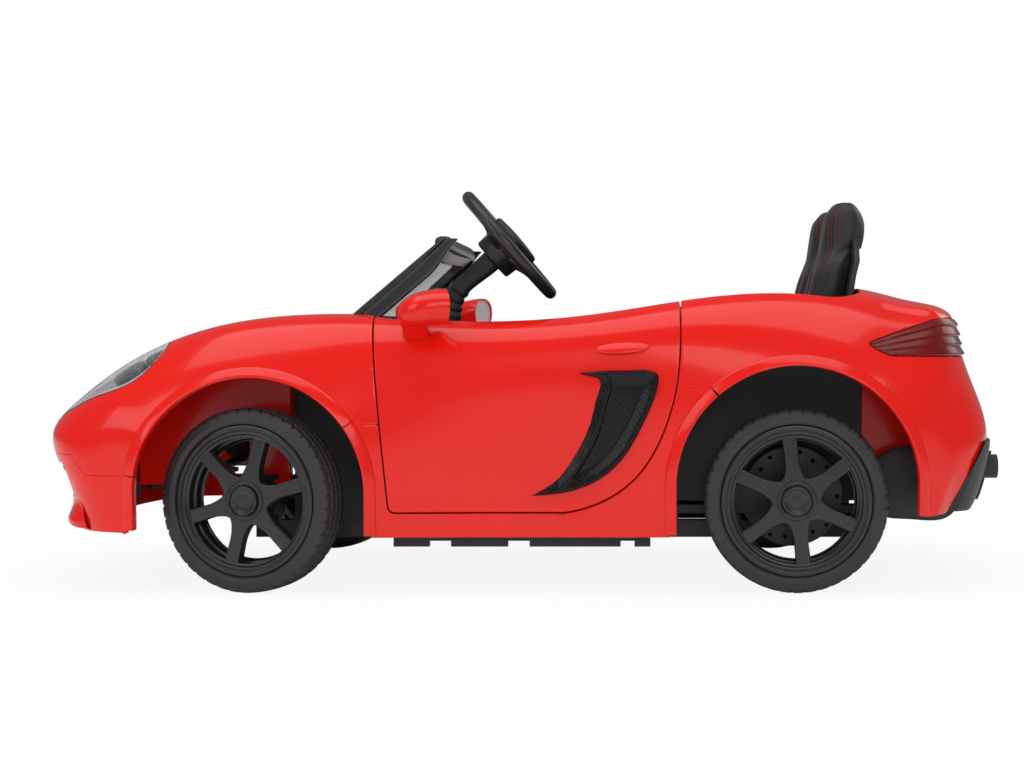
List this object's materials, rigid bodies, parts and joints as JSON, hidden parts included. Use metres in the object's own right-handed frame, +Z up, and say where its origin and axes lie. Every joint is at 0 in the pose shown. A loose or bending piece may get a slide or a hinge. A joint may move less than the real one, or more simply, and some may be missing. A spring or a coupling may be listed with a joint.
{
  "type": "electric ride on car",
  "caption": "Child's electric ride-on roadster with moulded body, opening doors, steered front wheels, driven rear axle, screen, bench seat with paired backs and working pedals.",
  "frame": {"origin": "on the ground, midway between nose and tail and between the two sides", "axes": "+X towards the tail, so the nose points to -X; +Y towards the car's right side; +Z up. The driver sits on the -Y side."},
  "size_m": [1.3531, 0.782, 0.5638],
  "materials": {
    "body_red": "gloss moulded",
    "black_plastic": "matte moulded",
    "satin_black": "satin moulded",
    "carbon_look": "gloss woven pattern",
    "rim_black": "satin moulded",
    "tyre": "matte rubber",
    "black_steel": "black powder coat",
    "bare_steel": "zinc plated",
    "seat_leather": "soft grain with dark red seams",
    "clear_lens": "clear moulded",
    "reflector": "bright plated",
    "red_lens": "gloss dark red",
    "screen_glass": "clear sheet",
    "mirror": "silvered",
    "button_red": "gloss moulded",
    "rocker_black": "gloss moulded"
  },
  "bodies": {
    "chassis": {"frame_rails": "black_steel", "front_crossmember": "black_steel", "rear_crossmember": "black_steel", "cockpit_tub": "black_plastic", "dashboard": "satin_black", "column_cover": "black_plastic", "front_shell": "body_red", "front_bumper": "body_red", "left_sill": "body_red", "right_sill": "body_red", "rear_shell": "body_red", "front_grille": "black_plastic", "rear_diffuser": "black_plastic", "headlight_lenses": "clear_lens", "headlight_reflectors": "reflector", "taillight_lenses": "red_lens", "windscreen_frame": "satin_black", "windscreen_glass": "screen_glass", "seat_cushion": "seat_leather", "left_seat_back": "seat_leather", "right_seat_back": "seat_leather", "seat_shell": "black_plastic", "battery": "black_plastic", "controller_box": "black_plastic", "gearbox_housing": "black_plastic", "drive_motor": "black_steel", "brake_caliper": "black_steel", "axle_bearings": "bare_steel", "door_hinge_pins": "bare_steel"},
    "steering": {"steering_wheel": "satin_black", "steering_shaft": "bare_steel"},
    "horn": {"horn_pad": "satin_black"},
    "tie_rod_body": {"tie_rod": "black_steel"},
    "left_knuckle_body": {"left_knuckle": "black_steel"},
    "right_knuckle_body": {"right_knuckle": "black_steel"},
    "left_front_wheel": {"left_front_tyre": "tyre", "left_front_rim": "rim_black", "left_front_cap": "rim_black"},
    "right_front_wheel": {"right_front_tyre": "tyre", "right_front_rim": "rim_black", "right_front_cap": "rim_black"},
    "rear_wheels": {"rear_axle": "bare_steel", "rear_tyres": "tyre", "rear_rims": "rim_black", "rear_wheel_caps": "rim_black", "brake_disc": "bare_steel"},
    "left_door": {"left_door_panel": "body_red", "left_door_trim": "black_plastic", "left_side_vent": "carbon_look", "left_mirror_housing": "body_red", "left_mirror_glass": "mirror"},
    "right_door": {"right_door_panel": "body_red", "right_door_trim": "black_plastic", "right_side_vent": "carbon_look", "right_mirror_housing": "body_red", "right_mirror_glass": "mirror"},
    "accelerator": {"accelerator_pedal": "satin_black"},
    "brake": {"brake_pedal": "satin_black"},
    "start": {"start_button": "button_red"},
    "direction": {"direction_rocker": "rocker_black"}
  },
  "joints": [
    {"name": "steering_turn", "type": "hinge", "parent": "chassis", "child": "steering", "pos_m": [-0.0265, -0.16, 0.484], "axis": [0.7593, 0, 0.6508], "range_deg": [-10, 78]},
    {"name": "horn_press", "type": "slide", "parent": "steering", "child": "horn", "axis": [-0.7593, 0, -0.6508], "range_m": [0, 0.003], "stiffness_N_per_m": 1500},
    {"name": "tie_rod_slide", "type": "slide", "parent": "chassis", "child": "tie_rod_body", "axis": [0, 1, 0], "range_m": [-0.0403, 0.0055]},
    {"name": "left_knuckle_steer", "type": "hinge", "parent": "chassis", "child": "left_knuckle_body", "pos_m": [-0.361, -0.27, 0.127], "axis": [0, 0, 1], "range_deg": [-5, 39]},
    {"name": "right_knuckle_steer", "type": "hinge", "parent": "chassis", "child": "right_knuckle_body", "pos_m": [-0.361, 0.27, 0.127], "axis": [0, 0, 1], "range_deg": [-5, 39]},
    {"name": "left_front_spin", "type": "hinge", "parent": "left_knuckle_body", "child": "left_front_wheel", "pos_m": [-0.37123, -0.30347, 0.127], "axis": [0.2924, 0.9563, 0], "continuous": true},
    {"name": "right_front_spin", "type": "hinge", "parent": "right_knuckle_body", "child": "right_front_wheel", "pos_m": [-0.35077, 0.30347, 0.127], "axis": [0.2924, 0.9563, 0], "continuous": true},
    {"name": "rear_axle_spin", "type": "hinge", "parent": "chassis", "child": "rear_wheels", "pos_m": [0.377, 0, 0.127], "axis": [0, 1, 0], "continuous": true},
    {"name": "left_door_hinge", "type": "hinge", "parent": "chassis", "child": "left_door", "pos_m": [-0.163, -0.3261, 0.2], "axis": [0, 0, -1], "range_deg": [0, 50]},
    {"name": "right_door_hinge", "type": "hinge", "parent": "chassis", "child": "right_door", "pos_m": [-0.163, 0.3261, 0.2], "axis": [0, 0, 1], "range_deg": [0, 50]},
    {"name": "accelerator_press", "type": "hinge", "parent": "chassis", "child": "accelerator", "pos_m": [-0.252, -0.102, 0.108], "axis": [0, -1, 0], "range_deg": [0, 16], "stiffness_Nm_per_rad": 3},
    {"name": "brake_press", "type": "hinge", "parent": "chassis", "child": "brake", "pos_m": [-0.252, -0.166, 0.108], "axis": [0, -1, 0], "range_deg": [0, 16], "stiffness_Nm_per_rad": 3},
    {"name": "start_press", "type": "slide", "parent": "chassis", "child": "start", "axis": [-0.9734, 0, -0.229], "range_m": [0, 0.003], "stiffness_N_per_m": 800},
    {"name": "direction_tilt", "type": "hinge", "parent": "chassis", "child": "direction", "pos_m": [-0.11287, 0, 0.33385], "axis": [0, 1, 0], "range_deg": [-10, 10]}
  ],
  "couplings": [
    {"joint": "left_knuckle_steer", "follows": "steering_turn", "ratio": 0.5},
    {"joint": "right_knuckle_steer", "follows": "steering_turn", "ratio": 0.5},
    {"joint": "tie_rod_slide", "follows": "steering_turn", "m_per_rad": -0.0294}
  ]
}
